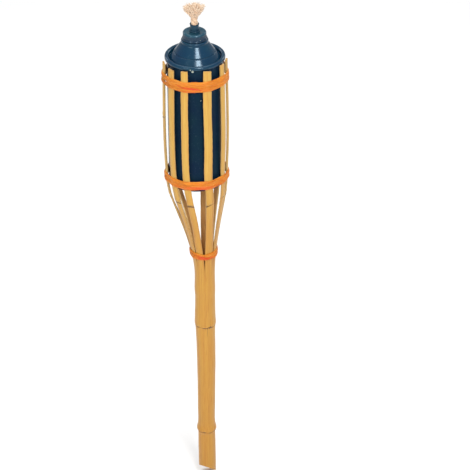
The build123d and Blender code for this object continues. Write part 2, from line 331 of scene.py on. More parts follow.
def bamboo():
    """Varnished golden bamboo skin; pithy brown where it was split; dark lines at its nodes; painted shade
    along the split edges between staves.
    """
    s = Shader("bamboo", Specular_IOR_Level=0.4, Coat_Weight=0.1, Coat_Roughness=0.3)
    fibre = s.noise(s.grain((1.0, 1.0, 0.018)), 2.6, 6.0, 0.7)
    streak = s.noise(s.grain((1.0, 1.0, 0.010)), 0.42, 4.0, 0.6)
    cloud = s.noise(s.grain((1.0, 1.0, 0.35)), 0.07, 3.0, 0.6)
    fleck = s.noise(s.grain((1.0, 1.0, 0.03)), 1.5, 2.0, 0.5)
    skin = s.ramp(
        streak, (0.28, (0.47, 0.172, 0.013)), (0.5, (0.575, 0.296, 0.036)), (0.72, (0.635, 0.385, 0.068))
    )
    skin = s.over(skin, (0.56, 0.325, 0.046), cloud, 0.35, 0.7, 0.55)
    skin = s.over(skin, (0.75, 0.505, 0.135), fibre, 0.3, 0.75, 0.45)
    skin = s.over(skin, (0.44, 0.17, 0.025), fleck, 0.58, 0.72, 0.6)
    # the culm is browner and a little darker towards its foot
    millimetres = s.node("SeparateXYZ", Vector=s.mark("grain", "Vector")).outputs["Z"]
    height = s.math("MULTIPLY", millimetres, 0.001)
    for tint, low, high in (((0.88, 0.76, 0.58), 0.36, 0.45), ((0.90, 0.86, 0.78), 0.0, 0.2)):
        share = s.ramp(height, (low, 1.0), (high, 0.0))
        skin = s.mix(share, skin, s.mix(1.0, skin, tint, "MULTIPLY"))
    pith = s.ramp(
        fibre, (0.3, (0.34, 0.145, 0.042)), (0.5, (0.58, 0.30, 0.095)), (0.72, (0.72, 0.44, 0.165))
    )
    split = s.ramp(fibre, (0.3, (0.55, 0.30, 0.08)), (0.6, (0.80, 0.56, 0.22)), (0.8, (0.86, 0.66, 0.33)))
    inner = s.mark("inner")
    colour = s.mix(inner, skin, pith)
    colour = s.mix(s.mark("split"), colour, split)
    # painted shade: the skin darkened at its split edges, where the gaps between staves fall in shade, and a
    # little over the sides and backs
    colour = s.mix(s.math("MULTIPLY", s.mark("edge"), 0.85), colour, (0.20, 0.085, 0.025))
    rag = s.math("ADD", s.mark("scar"), s.swing(fibre, 0.5))
    colour = s.over(colour, (0.085, 0.035, 0.014), rag, 0.3, 0.8, 0.93)
    rough = s.ramp(fibre, (0.3, 0.36), (0.7, 0.5))
    rough = s.mix(inner, rough, (0.85, 0.85, 0.85))
    depth = s.math("ADD", fibre, s.math("MULTIPLY", inner, s.math("MULTIPLY", fibre, 4.0)))
    return s.finish(Base_Color=colour, Roughness=rough, Normal=s.bump(depth, 0.12 * MM, 0.6))


def cane():
    """Dyed orange cane: long fibres, paler rubbed ridges, reddish dye patches, and a deep reddish painted
    shade in its creases, along its lower edges and under its turns.
    """
    s = Shader("dyed_cane", Specular_IOR_Level=0.3, Sheen_Weight=0.06, Sheen_Roughness=0.4)
    fibre = s.noise(s.grain((0.035, 1.0, 1.0)), 3.4, 6.0, 0.7)
    patch = s.noise(s.grain((0.10, 0.45, 0.4)), 0.75, 3.0, 0.6)
    colour = s.ramp(
        fibre, (0.34, (0.46, 0.066, 0.002)), (0.5, (0.64, 0.185, 0.004)), (0.66, (0.80, 0.33, 0.028))
    )
    colour = s.over(colour, (0.86, 0.28, 0.012), patch, 0.5, 0.75, 0.6)
    # the deep reddish colour: noise patches of dye, plus painted shade where the strips mark it
    red = s.math("ADD", s.mark("red"), s.swing(patch, 0.9))
    colour = s.over(colour, (0.70, 0.045, 0.012), red, 0.25, 0.9, 0.85)
    worn = s.math("MULTIPLY", s.mark("worn"), s.ramp(fibre, (0.45, 0.0), (0.7, 0.7)))
    colour = s.mix(worn, colour, (0.90, 0.50, 0.15))
    rough = s.ramp(fibre, (0.3, 0.42), (0.7, 0.62))
    return s.finish(Base_Color=colour, Roughness=rough, Normal=s.bump(fibre, 0.35 * MM, 1.0))


def enamel(name, base, tint, shine, ior=1.5):
    """Glossy navy enamel on tinplate: faint orange peel, dust, spots chipped down to the tin, and pale
    painted glints where a piece marks them.
    """
    s = Shader(name, IOR=ior, Specular_IOR_Level=shine, Specular_Tint=(0.66, 0.86, 1.0, 1.0))
    place = s.node("TexCoord").outputs["Object"]
    cloud = s.noise(place, 38.0, 4.0, 0.6)
    peel = s.noise(place, 900.0, 2.0, 0.5)
    dust = s.noise(place, 420.0, 5.0, 0.7)
    colour = s.over(base, tint, cloud, 0.3, 0.72, 1.0)
    # deep: painted shade, darkening the cap's skirt below its lit top
    colour = s.mix(s.mark("deep"), colour, s.mix(1.0, colour, (0.30, 0.36, 0.52), "MULTIPLY"))
    colour = s.over(colour, (0.30, 0.42, 0.50), dust, 0.60, 0.80, 0.14)
    worn = s.ramp(s.math("ADD", s.mark("chip"), s.swing(dust, 0.8)), (0.48, 0.0), (0.58, 1.0))
    colour = s.mix(worn, colour, (0.45, 0.50, 0.42))
    rough = s.ramp(cloud, (0.3, 0.15), (0.7, 0.24))
    rough = s.mix(worn, rough, (0.5, 0.5, 0.5))
    normal = s.bump(peel, 0.02 * MM, 0.35)
    return s.finish(Base_Color=colour, Roughness=rough, Normal=s.bump(cloud, 0.25 * MM, 0.25, normal))


def wick_cotton():
    """Undyed cotton-like wick fibre, pale at its ends, warm and darker in the mop's depths as painted shade.
    """
    s = Shader("wick_fibre", Specular_IOR_Level=0.2, Sheen_Weight=0.35, Sheen_Roughness=0.5)
    fine = s.noise(s.grain((0.5, 0.5, 0.12)), 3.0, 5.0, 0.7)
    soft = s.noise(s.grain((0.3, 0.3, 0.3)), 0.9, 3.0, 0.6)
    colour = s.ramp(fine, (0.25, (0.50, 0.31, 0.19)), (0.5, (0.68, 0.48, 0.33)), (0.75, (0.76, 0.60, 0.45)))
    colour = s.over(colour, (0.78, 0.51, 0.31), soft, 0.35, 0.75, 0.6)
    # tip: paler fibre ends; the darker roots, deep in the mop, keep a painted shade
    colour = s.mix(s.math("MULTIPLY", s.mark("tip"), 0.75), colour, (0.77, 0.65, 0.51))
    rough = s.ramp(fine, (0.3, 0.75), (0.7, 0.95))
    return s.finish(Base_Color=colour, Roughness=rough, Normal=s.bump(fine, 0.15 * MM, 0.6))


def soft_seal():
    """Grey rubber with a faint bloom."""
    s = Shader("seal_rubber", Specular_IOR_Level=0.3)
    bloom = s.noise(s.node("TexCoord").outputs["Object"], 350.0, 4.0, 0.6)
    colour = s.ramp(bloom, (0.3, (0.03, 0.03, 0.032)), (0.7, (0.075, 0.075, 0.075)))
    return s.finish(Base_Color=colour, Roughness=s.ramp(bloom, (0.3, 0.6), (0.7, 0.8)))


BAMBOO, CANE, WICK = bamboo(), cane(), wick_cotton()
# The shoulder and the cap take lighter copies of the body's navy: painted light where their upward faces
# catch the light.
ENAMEL = enamel("navy_enamel", (0.0045, 0.0150, 0.0400), (0.0055, 0.0230, 0.0390), 0.5, 1.13)
SHOULDER_ENAMEL_PAINTED_LIGHT = enamel("shoulder_enamel_painted_light", (0.003, 0.026, 0.068), (0.005, 0.040, 0.070), 0.46)
TUBE_ENAMEL = enamel("tube_enamel", (0.008, 0.030, 0.060), (0.012, 0.042, 0.068), 0.3)
CAP_ENAMEL_PAINTED_LIGHT = enamel("cap_enamel", (0.008, 0.040, 0.076), (0.019, 0.076, 0.110), 0.55)
SEAL = soft_seal()

# ---- pole -----------------------------------------------------------------------------------

LOWER_NODE_Z, UPPER_NODE_Z = 53.5 * MM, 211.0 * MM
# Where a bud scar and a drying crack lie round the culm, to the right of the front.
BUD_AT, CRACK_AT = math.radians(27), math.radians(11)
WALL_MIDDLE_R = 0.6 * MM  # the flat disc that closes a node's inner wall in its middle


def node_ring(height, seed, along):
    """The skin's rise at a node, and its dark scar. height is above the node, along the way round."""
    wave = wander(along, seed, 14 * MM, 0.55 * MM)
    h = (height - wave) / MM
    rise = 0.30 * bell((h + 1.9) / 0.55) - 0.42 * bell((h + 0.9) / 0.55) + 0.22 * bell((h - 3.0) / 2.6)
    fade = 0.72 + wander(along, seed + 1, 9 * MM, 0.30)
    scar = fade * bell((h + 0.9) / 0.75) + 0.35 * bell((h + 2.6) / 0.8) * fade
    return rise * MM, scar


def pole():
    """The culm below its split, open at its slanting cut and closed at its nodes' inner walls."""
    columns = 192
    angles = full_turn(columns)
    levels = list(np.arange(1.0 * MM, SPLIT_Z - 1.0 * MM, 1.3 * MM))
    for node in (LOWER_NODE_Z, UPPER_NODE_Z):
        levels += list(np.arange(node - 5 * MM, node + 6 * MM, 0.4 * MM))
    levels = sorted(levels) + [SPLIT_Z - 0.02 * MM]
    skin = [lengths(cut_points("pole", z)).max() for z in levels]
    bore_low, bore_high = (lengths(cut_points("pole", z)).min() for z in (5 * MM, SPLIT_Z - 5 * MM))
    foot_r = skin[0]

    # the slanting cut, as a plane through the CAD's own cut face
    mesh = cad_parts["pole"].data
    slanting = [p for p in mesh.polygons if p.normal.z < -0.3 and p.center.z < -0.2 * MM]
    face = max(slanting, key=lambda p: p.area)
    normal, on = face.normal, face.center

    def cut_z(x, y):
        return on.z - (normal.x * (x - on.x) + normal.y * (y - on.y)) / normal.z

    def ring(r, z):
        return stack(r * np.sin(angles), -r * np.cos(angles), z)

    def foot_ring(r, share):
        row = ring(r, 0.0)
        row[:, 2] = share * cut_z(row[:, 0], row[:, 1]) + (1 - share) * 1.0 * MM
        return row

    rows, scars, inner, grain = [], [], [], []

    def put(row, scar=0.0, inside=0.0, home=None):
        rows.append(row)
        scars.append(np.broadcast_to(scar, columns))
        inner.append(np.full(columns, inside))
        grain.append((row if home is None else home) / MM)

    put(ring(WALL_MIDDLE_R, LOWER_NODE_Z - 2 * MM), inside=1.0)
    put(ring(bore_low, LOWER_NODE_Z - 2 * MM), inside=1.0)
    for share in (0.0, 0.5, 0.97):
        put(foot_ring(bore_low, share), inside=1.0)
    put(foot_ring(bore_low + 0.25 * MM, 1.0), inside=1.0)
    put(foot_ring(foot_r - 0.35 * MM, 1.0), inside=0.9)
    put(foot_ring(foot_r - 0.12 * MM, 0.985), inside=0.35)
    for share in np.linspace(0.95, 0.0, 14):
        put(foot_ring(foot_r - 0.25 * MM * share, share))
    for z, r in zip(levels[1:], skin[1:]):
        rise, scar = np.zeros(columns), np.zeros(columns)
        for k, node in enumerate((LOWER_NODE_Z, UPPER_NODE_Z)):
            lift, dark = node_ring(z - node, 20 + 7 * k, angles * r)
            rise, scar = rise + lift, scar + dark
        # a bud scar on the upper node, with the flute that its branch pressed above it
        beside = (angles - BUD_AT) * r / MM
        h = (z - UPPER_NODE_Z) / MM
        bud = bell(beside / 2.3) * bell((h + 0.4) / 2.4)
        rise += (0.75 * bud - 0.5 * bell(beside / 1.7) * ease((h - 1) / 4) * ease((30 - h) / 24)) * MM
        scar = scar + bud * (0.5 + 0.5 * np.sin(beside * 2.4 + h * 1.7))
        scar += 0.5 * bell((beside - 0.12 * h) / 0.55) * ease(h / 3) * ease((22 - h) / 16)
        # a drying crack under the node
        crack = bell((angles - CRACK_AT) * r / (0.28 * MM)) * ease((h + 22) / 14) * ease(-h / 2)
        rise -= 0.3 * MM * crack
        scar += 0.8 * crack
        # between its two ends the culm is neither quite round nor quite straight
        free = ease((SPLIT_Z - z) / (30 * MM)) * ease(z / (30 * MM))
        rise += free * (wander(z + angles * 3 * MM, 5, 60 * MM, 0.10 * MM))
        rise += free * 0.10 * MM * np.sin(2 * angles + z / (70 * MM))
        row = ring(r + rise, z)
        row[:, 0] += free * wander(z, 9, 150 * MM, 0.35 * MM)
        put(row, np.clip(scar, 0, 1.2), home=ring(r, z))
    put(ring(bore_high, SPLIT_Z - 0.02 * MM), inside=1.0)
    put(ring(bore_high, UPPER_NODE_Z), inside=1.0)
    put(ring(WALL_MIDDLE_R, UPPER_NODE_Z), inside=1.0)
    form = Form()
    form.tube(rows, scar=scars, inner=inner, grain=grain, edge=0.0, split=0.0)
    return form.piece("bamboo_pole", BAMBOO, "torch", "bamboo", ["pole"])


# ---- staves ---------------------------------------------------------------------------------


def stave_corners(node, z, axis):
    """A stave's cut at one level: its skin's two corners, its back's two, and how far the skin bows out."""
    loop = outline(node, z)
    outward = (loop.min(0) + loop.max(0)) / 2 - axis
    outward /= np.linalg.norm(outward)
    place = loop @ np.array([[-outward[1], outward[0]], outward]).T
    low, high = place.min(0), place.max(0)
    u, v = (2 * (place - (low + high) / 2) / (high - low)).T
    ways = ((-2, 1), (2, 1), (2, -1), (-2, -1))
    left, right, back_right, back_left = (loop[np.argmax(a * u + b * v)] for a, b in ways)
    square = np.array([right[1] - left[1], left[0] - right[0]]) / np.linalg.norm(right - left)
    bow = max(0.0, ((loop - left) @ square).max())
    return np.concatenate([left, right, back_right, back_left, [bow]])


def read_staves(levels):
    """Every stave's corners at every level, smoothed: an array (stave, level, 9)."""
    table = np.zeros((len(STAVES), len(levels), 9))
    for k, z in enumerate(levels):
        middles = [cut_points(n, min(z, span(n)[1] - 0.3 * MM)).mean(0) for n in STAVES]
        axis = np.mean(middles, axis=0)
        for i, n in enumerate(STAVES):
            table[i, k] = stave_corners(n, min(z, span(n)[1] - 0.3 * MM), axis)
    for _ in range(2):
        table[:, 1:-1] = (table[:, :-2] + 2 * table[:, 1:-1] + table[:, 2:]) / 4
    return table


STEP = 4.0 * MM
LEVELS = np.append(np.arange(SPLIT_Z + 0.15 * MM, RIM_Z - 3 * MM, STEP), RIM_Z - 2.6 * MM)
CORNERS = read_staves(LEVELS)
FRONT_CRACK = 2  # the gap after this stave is the open one at the front
# Marks on the staves where the culm had nodes: stave, height, tilt and bow across it, strength at
# its left and right.
SCARS = [
    (0, 502, 0.4, 0.6, 0.9, 0.7),
    (0, 396, 0.3, -0.8, 0.8, 0.6),
    (1, 395, 0.5, -0.7, 0.9, 0.7),
    (2, 393.5, 0.2, -0.9, 1.0, 0.9),
    (3, 394, 1.3, -0.4, 1.0, 0.35),
    (4, 397, -0.5, -0.6, 0.4, 0.9),
    (5, 396, 0.3, -0.7, 0.8, 0.8),
    (6, 393, 0.0, -0.6, 0.8, 0.8),
    (7, 395, 0.6, -0.5, 0.7, 0.9),
    (8, 394, -0.3, -0.8, 0.9, 0.7),
]


def closed_corners(z):
    """The corners at one height, with the cracks under the neck band closed up as they run down."""
    count = len(STAVES)
    now = np.array([[np.interp(z, LEVELS, CORNERS[i, :, c]) for c in range(9)] for i in range(count)])
    crowns = [np.linalg.norm((c[0:2] + c[2:4]) / 2) + c[8] for c in now]
    for i in range(count):
        j = (i + 1) % count
        start = (3 if i == FRONT_CRACK else 10 + 9 * math.sin(i * 2.3) ** 2) * MM
        end = (58 if i == FRONT_CRACK else 60) * MM
        shut = 0.995 * (1 - ease((z - SPLIT_Z - start) / (end - start)))
        for mine, theirs in ((slice(2, 4), slice(0, 2)), (slice(4, 6), slice(6, 8))):
            a, b = now[i, mine], now[j, theirs]
            between = (a + b) / 2
            between *= (np.linalg.norm(a) + np.linalg.norm(b)) / 2 / np.linalg.norm(between)
            now[i, mine], now[j, theirs] = a + shut * (between - a), b + shut * (between - b)
    # near the root the culm stays round, so the skin bows out as far as it did before
    low = 1 - ease((z - SPLIT_Z - 20 * MM) / (40 * MM))
    for c, crown in zip(now, crowns):
        c[8] += low * (crown - np.linalg.norm((c[0:2] + c[2:4]) / 2) - c[8])
    return now


def stave_ring(corners, u_skin, t_side, t_back):
    """One level ring: skin left to right, right side inwards, back right to left, left side outwards."""
    left, right, back_right, back_left = corners[0:2], corners[2:4], corners[4:6], corners[6:8]
    across = right - left
    out = np.array([across[1], -across[0]]) / np.linalg.norm(across)
    skin = left + across * (u_skin[:, None] + 1) / 2 + out * corners[8] * (1 - u_skin[:, None] ** 2)
    side_r = right + (back_right - right) * t_side[:, None]
    back = back_right + (back_left - back_right) * t_back[:, None]
    side_l = back_left + (left - back_left) * (1 - t_side[::-1][:, None])
    return np.vstack([skin, side_r, back, side_l]), out, across


def stave(index):
    """One stave, from the culm's split to its sawn end, round the corners read from the CAD."""
    node = STAVES[index]
    top = span(node)[1]
    u_skin = np.concatenate([[-1.0, -0.95], np.linspace(-0.84, 0.84, 13), [0.95, 1.0]])
    t_side = np.array([0.3, 0.65])
    t_back = np.linspace(0, 1, 9)
    levels = list(np.arange(SPLIT_Z, top - 1.2 * MM, 1.5 * MM))
    for k, height, *_ in SCARS:
        if k == index:
            levels += list(np.arange(height * MM - 4 * MM, height * MM + 6 * MM, 0.5 * MM))
    levels = sorted(levels) + [top - 0.6 * MM, top - 0.15 * MM]
    home, _, _ = stave_ring(closed_corners(SPLIT_Z)[index], u_skin, t_side, t_back)
    n_skin, n_side, n_back = len(u_skin), len(t_side), len(t_back)
    skin = slice(0, n_skin)
    back = slice(n_skin + n_side, n_skin + n_side + n_back)
    inside = np.concatenate([np.zeros(n_skin), np.ones(n_side + n_back + n_side)])
    corner = np.where(np.abs(u_skin) > 0.9, 1.0, 0.0)
    rng = random.Random(40 + index)
    slant = rng.uniform(-0.9, 0.9) * MM
    rows, scars, grain, edges = [], [], [], []
    seeds = [100 * index + k for k in range(4)]
    for z in levels:
        corners = closed_corners(min(z, LEVELS[-1]))[index]
        free = float(ease((z - SPLIT_Z - 60 * MM) / (40 * MM)))
        ring, out, across = stave_ring(corners, u_skin, t_side, t_back)
        width = np.linalg.norm(across)
        side = across / width
        centre = ring.mean(0)
        # the split wanders along the grain: its width and its place vary a little
        scale = 1 + free * wander(z, seeds[0], 90 * MM, 0.035)
        shift = free * wander(z, seeds[1], 130 * MM, 0.30 * MM)
        ring = ring + np.outer((ring - centre) @ side * (scale - 1) + shift, side)
        rag = np.zeros(len(ring))
        rag[n_skin - 1 : n_skin + n_side + 1] = free * wander(z, seeds[2], 11 * MM, 0.10 * MM)
        rag[0] = free * wander(z, seeds[3], 12 * MM, 0.10 * MM)
        rag[-n_side:] = rag[0]
        ring = ring + np.outer(rag, side)
        # the skin: faint ribs along the grain, rounded split edges, and the node marks
        ribs = np.array([wander(z, 900 + 31 * index + k, 70 * MM, 1.0) for k in range(n_skin)])
        rise = free * 0.05 * MM * ribs
        rise -= ease((z - SPLIT_Z) / (12 * MM)) * 0.16 * MM * corner
        scar = np.zeros(n_skin)
        for k, height, tilt, bow, low, high in SCARS:
            if k == index and abs(z - height * MM) < 10 * MM:
                h = z / MM - height - tilt * u_skin - bow * (u_skin**2 - 0.4)
                share = low + (high - low) * (u_skin + 1) / 2
                ridge = 0.42 * bell((h + 1.0) / 0.6) - 0.35 * bell(h / 0.5) + 0.45 * bell((h - 3.4) / 2.6)
                rise += MM * share * ridge
                scar += share * bell(h / 1.2) + 0.5 * share * bell((h - 2.4) / 1.0)
        ring[skin] += np.outer(rise, out)
        hollow = 0.22 * MM * (1 - (2 * t_back - 1) ** 2)
        rough = 0.10 * MM * np.array([wander(z, 1900 + 31 * index + k, 9 * MM, 1.0) for k in range(n_back)])
        ring[back] += np.outer(free * (hollow + np.abs(rough)), out)
        # the end is sawn a little out of square
        end = ease((z - top + 8 * MM) / (8 * MM))
        lean = end * slant * ((ring - centre) @ side) / (width / 2) - end * abs(slant)
        if z >= top - 0.2 * MM:
            ring = centre + (ring - centre) * (1 - 0.25 * MM / (width / 2))
        rows.append(np.column_stack([ring, z + lean]))
        scars.append(np.concatenate([scar, np.zeros(len(ring) - n_skin)]))
        grain.append(np.column_stack([home, np.full(len(ring), z)]) / MM)
        # painted shade along the skin's split edges, and a little over the sides and back
        edges.append(free * np.concatenate([corner * 0.45, np.full(len(ring) - n_skin, 0.1)]))
    inner = np.broadcast_to(inside, (len(rows), len(inside))).copy()
    inner[-1] = 0.8
    split = np.concatenate([corner * 0.4, np.ones(n_side), np.zeros(n_back), np.ones(n_side)])
    split = split * np.array([float(ease((z - SPLIT_Z - 40 * MM) / (60 * MM))) for z in levels])[:, None]
    form = Form()
    form.tube(rows, scar=scars, inner=inner, grain=grain, edge=edges, split=split)
    return form.piece("bamboo_" + node, BAMBOO, "torch", "bamboo", [node])


# ---- bands ----------------------------------------------------------------------------------

CANE_THICK = 0.9 * MM


class Wall:
    """The tight face that a band lies on: how far out it is at an angle and a height."""

    def __init__(self, node):
        low, high = span(node)
        self.low, self.high, self.centre = low, high, middle(node)
        self.angles = np.linspace(-math.pi, math.pi, 721)
        self.rings = [self.ring(node, z) for z in (low + 0.4 * MM, high - 0.4 * MM)]

    def ring(self, node, z):
        loop = outline(node, z) - self.centre
        ends = np.vstack([loop, loop[:1]])
        shares = np.linspace(0, 1, 12)[:-1]
        dense = np.vstack([a + (b - a) * t for a, b in zip(ends, ends[1:]) for t in shares])
        bearing = np.arctan2(dense[:, 0], -dense[:, 1])
        order = np.argsort(bearing)
        reach = lengths(dense)[order]
        return np.interp(self.angles, bearing[order], reach, period=2 * math.pi) - CANE_THICK

    def reach(self, angle, z):
        share = (z - self.low - 0.4 * MM) / (self.high - self.low - 0.8 * MM)
        bearing = (angle + math.pi) % (2 * math.pi) - math.pi
        a, b = (np.interp(bearing, self.angles, ring) for ring in self.rings)
        return a + (b - a) * share

    def point(self, angle, z, off):
        r = self.reach(angle, z) + off
        return stack(self.centre[0] + r * np.sin(angle), self.centre[1] - r * np.cos(angle), z)


def strip(form, wall, angles, level, width, lift, seed, closed=True, red=0.0, puff=0.45 * MM):
    """One strip of cane laid on the wall along angles, at a level, of a width, lifted off by lift."""
    n = len(angles)
    across = np.concatenate([np.linspace(-0.5, 0.5, 31), np.linspace(0.5, -0.5, 9)])
    top = np.arange(len(across)) < 31
    run = angles * wall.reach(angles, np.full(n, (wall.low + wall.high) / 2))
    level, width, lift, red = (np.broadcast_to(v, n) for v in (level, width, lift, red))
    edge_wave = wander(run, seed, 26 * MM, 0.25 * MM)
    low_wave = wander(run, seed + 1, 22 * MM, 0.25 * MM)
    rows, dye_and_shade_rows, worn = np.zeros((n, len(across), 3)), [], []
    # the creases between its strands: where each lies across the strip, and how deep it is along it
    creases = [
        (at + wander(run, seed + 70 + j, 45 * MM, 0.06), 0.55 + wander(run, seed + 80 + j, 24 * MM, 0.45))
        for j, at in enumerate((-0.30, -0.09, 0.13, 0.32))
    ]
    for k, w in enumerate(across):
        z = level + w * width + (edge_wave if w > 0 else low_wave) * abs(2 * w)
        dome = (1 - (2 * w) ** 6) * 0.5 * CANE_THICK + (1 - (2 * w) ** 2) * puff
        rib = wander(run, seed + 10 + k, 38 * MM, 0.11 * MM) + wander(run, seed + 50 + k, 5 * MM, 0.03 * MM)
        crease = sum(np.clip(deep, 0, 1) * bell((w - at) / 0.045) for at, deep in creases)
        skin = 0.5 * CANE_THICK + dome + (rib - 0.34 * MM * crease) * (abs(w) < 0.49)
        rows[:, k] = wall.point(angles, z, lift + (skin if top[k] else 0.0))
        # painted shade, reddish: along the strip's lower edge and in the creases between its strands
        dye_and_shade_rows.append(np.clip(red + 0.35 * (w < -0.38) + 0.42 * crease, 0, 1))
        worn.append(np.clip(0.35 + rib / (0.16 * MM) - crease, 0, 1) * np.ones(n))
    grain = stack(run[:, None], across * 8 * MM, seed * 0.013) / MM
    form.tube(rows, closed=closed, red=np.array(dye_and_shade_rows).T, worn=np.array(worn).T, grain=grain)


def loose_fibres(form, wall, count, seed):
    """Hair-fine fibres that have lifted off the cane and lie along it."""
    rng = random.Random(seed)
    for k in range(count):
        start, length = rng.uniform(-math.pi, math.pi), rng.uniform(10, 34) * MM
        z0 = rng.uniform(wall.low + 1 * MM, wall.high - 1 * MM)
        t = np.linspace(0, 1, 22)
        angles = start + t * length / float(wall.reach(np.array(start), np.array(z0)))
        z = z0 + rng.uniform(-1.6, 1.6) * MM * t + wander(t * length, seed + k, 18 * MM, 0.3 * MM)
        off = CANE_THICK + (0.50 + 0.45 * np.sin(math.pi * t) * rng.uniform(0.3, 1.0)) * MM
        thick = 0.09 * MM * np.sin(math.pi * np.clip(t, 0.08, 0.92)) + 0.02 * MM
        rows = wire(wall.point(angles, z, off), thick, 5)
        form.tube(rows, worn=0.9, red=0.0, grain=np.array([k * 9.0, 3.0, 1.0]))


def hump(angles, at, half):
    """A smooth rise and fall about an angle in degrees."""
    away = (np.degrees(angles) - at + 180) % 360 - 180
    return bell(away / half)


def crossing_end(form, wall, sweep, steps, level, width, slim, lift, seed, red):
    """The strip's end, brought slantwise across its turns over a sweep in degrees.

    It is widest half way, slim of that at its ends. level, lift and the reddish painted shade are functions:
    of how far along it is, for lift of how near its middle."""
    t = np.linspace(0, 1, steps)
    arch = np.sin(math.pi * t)
    angles = np.radians(np.linspace(*sweep, steps))
    place = wall.low + (wall.high - wall.low) * level(t)
    strip(form, wall, angles, place, width * (slim + (1 - slim) * arch), lift(arch), seed, False, red(t))


ROUND = np.linspace(-math.pi, math.pi, 480, endpoint=False)


def upper_band():
    """Two turns that part at the left, and the strip's end brought slantwise across them."""
    wall, form = Wall("upper_band"), Form()
    tall = wall.high - wall.low
    part = hump(ROUND, -78, 22)
    strip(form, wall, ROUND, wall.low + 0.645 * tall + 1.2 * MM * part, tall * (0.64 - 0.21 * part), 0.0, 3)
    lower = wall.low + 0.235 * tall - 1.1 * MM * part + 0.5 * MM * hump(ROUND, 60, 30)
    # painted shade: the lower turn reddened at the front, under the end brought across it
    dark = 0.25 * hump(ROUND, 0, 40)
    strip(form, wall, ROUND, lower, tall * (0.42 - 0.13 * part), 0.05 * MM, 4, red=dark)
    # the end's reddening, strongest near the front, is painted shade where it crosses the turns
    crossing_end(
        form, wall, (-36, 14), 90, lambda t: 0.62 - 0.40 * t, 3.6 * MM, 0.35,
        lambda arch: 0.55 * MM * arch**0.5 - 0.15 * MM, 5, lambda t: 0.55 + 0.45 * bell((t - 0.7) / 0.25),
    )
    loose_fibres(form, wall, 26, 60)
    return form.piece("upper_cane_band", CANE, "torch", "cane", ["upper_band"], 60)


def lower_band():
    """Two puffy turns, the lower one darker with painted shade."""
    wall, form = Wall("lower_band"), Form()
    tall = wall.high - wall.low
    strip(form, wall, ROUND, wall.low + 0.66 * tall, 0.62 * tall, 0.0, 13, puff=0.7 * MM)
    # painted shade: the lower turn reddened all round, most at the front
    dark = 0.18 + 0.4 * hump(ROUND, 5, 35)
    strip(form, wall, ROUND, wall.low + 0.26 * tall, 0.48 * tall, 0.10 * MM, 14, red=dark, puff=0.75 * MM)
    # the end is reddened evenly with painted shade
    crossing_end(
        form, wall, (20, 62), 70, lambda t: 0.22 + 0.45 * t, 3.4 * MM, 0.35,
        lambda arch: 0.5 * MM * arch, 15, lambda t: 0.25,
    )
    loose_fibres(form, wall, 26, 160)
    return form.piece("lower_cane_band", CANE, "torch", "cane", ["lower_band"], 60)


def neck_band():
    """Two turns drawn tight and twisted over each other at the front."""
    wall, form = Wall("neck_band"), Form()
    tall = wall.high - wall.low
    cross = hump(ROUND, 3, 30)
    high, low = wall.low + (0.67 - 0.12 * cross) * tall, wall.low + (0.27 + 0.02 * cross) * tall
    strip(form, wall, ROUND, high, (0.60 - 0.1 * cross) * tall, 0.0, 23, puff=0.5 * MM)
    # painted shade: the lower turn reddened, most where the turns cross at the front
    dark = 0.2 + 0.5 * cross
    strip(form, wall, ROUND, low, (0.46 - 0.05 * cross) * tall, 0.12 * MM, 24, red=dark, puff=0.6 * MM)
    # the end's reddening, strongest half way, is painted shade where it crosses the turns
    crossing_end(
        form, wall, (-48, 52), 90, lambda t: 0.72 - 0.52 * ease(t * 1.1), 3.4 * MM, 0.3,
        lambda arch: 0.65 * MM * arch, 25, lambda t: 0.25 + 0.75 * bell((t - 0.5) / 0.22),
    )
    loose_fibres(form, wall, 14, 260)
    return form.piece("neck_cane_band", CANE, "torch", "cane", ["neck_band"], 60)


# ---- canister -------------------------------------------------------------------------------

AXIS = np.array([CAN_X, CAN_Y])
SHEET = 0.5 * MM
SEAM_AT = math.radians(150)  # the tube's lapped seam, round the canister from its front


def skin_radius(node, z):
    """A canister part's widest reach from the canister's axis at one level."""
    return lengths(cut_points(node, z) - AXIS).max()


def bore_radius(node, z):
    """Its narrowest reach there."""
    return lengths(cut_points(node, z) - AXIS).min()


def chips_and_glints(rows, places):
    """Where the enamel is chipped, or a pale painted glint is laid on: (azimuth, height, size) in degrees and
    millimetres.
    """
    value = np.zeros(rows.shape[:2])
    for a, z, size in places:
        bearing = math.radians(a)
        reach = lengths(rows[:, :, :2] - AXIS)
        chip = stack(AXIS[0] + reach * math.sin(bearing), AXIS[1] - reach * math.cos(bearing), z * MM)
        value = np.maximum(value, bell(lengths(rows - chip) / (size * MM)))
    return value


def canister_body():
    """The tube, with its lapped seam behind and the faint waviness of thin tinplate."""
    z0, z1 = span("canister_body")
    r = float(np.median(lengths(outline("canister_body", (z0 + z1) / 2) - AXIS)))

    def shape(reach, z, angles):
        seam = bell((angles - SEAM_AT) * r / (1.6 * MM)) * 0.35 * MM
        wave = 0.06 * MM * np.sin(3 * angles + z / (31 * MM)) + 0.05 * MM * np.sin(5 * angles - z / (17 * MM))
        return reach + seam + wave * (reach > r - 0.1 * MM)

    outside = [(r + 0.12 * MM, z0), (r, z0 + 1.2 * MM)]
    outside += [(r, z) for z in np.arange(z0 + 2 * MM, z1 - 1.9 * MM, 0.9 * MM)]
    outside += [(r, z1 - 1.2 * MM), (r + 0.15 * MM, z1)]
    inside = [(r - SHEET, z1 + 0.2 * MM)] + [(r - SHEET, z) for z in np.arange(z1 - 2 * MM, z0, -10 * MM)]
    inside += [(r - SHEET, z0 - 0.2 * MM)]
    rows = turned(outside + inside, AXIS, 180, shape)
    form = Form()
    form.tube(rows, closed=True, chip=chips_and_glints(rows, [(-5, 571.5, 1.6), (11, 534, 0.9), (38, 546, 0.6)]))
    return form.piece("canister_tube", ENAMEL, "canister", "canister_enamel", ["canister_body"])


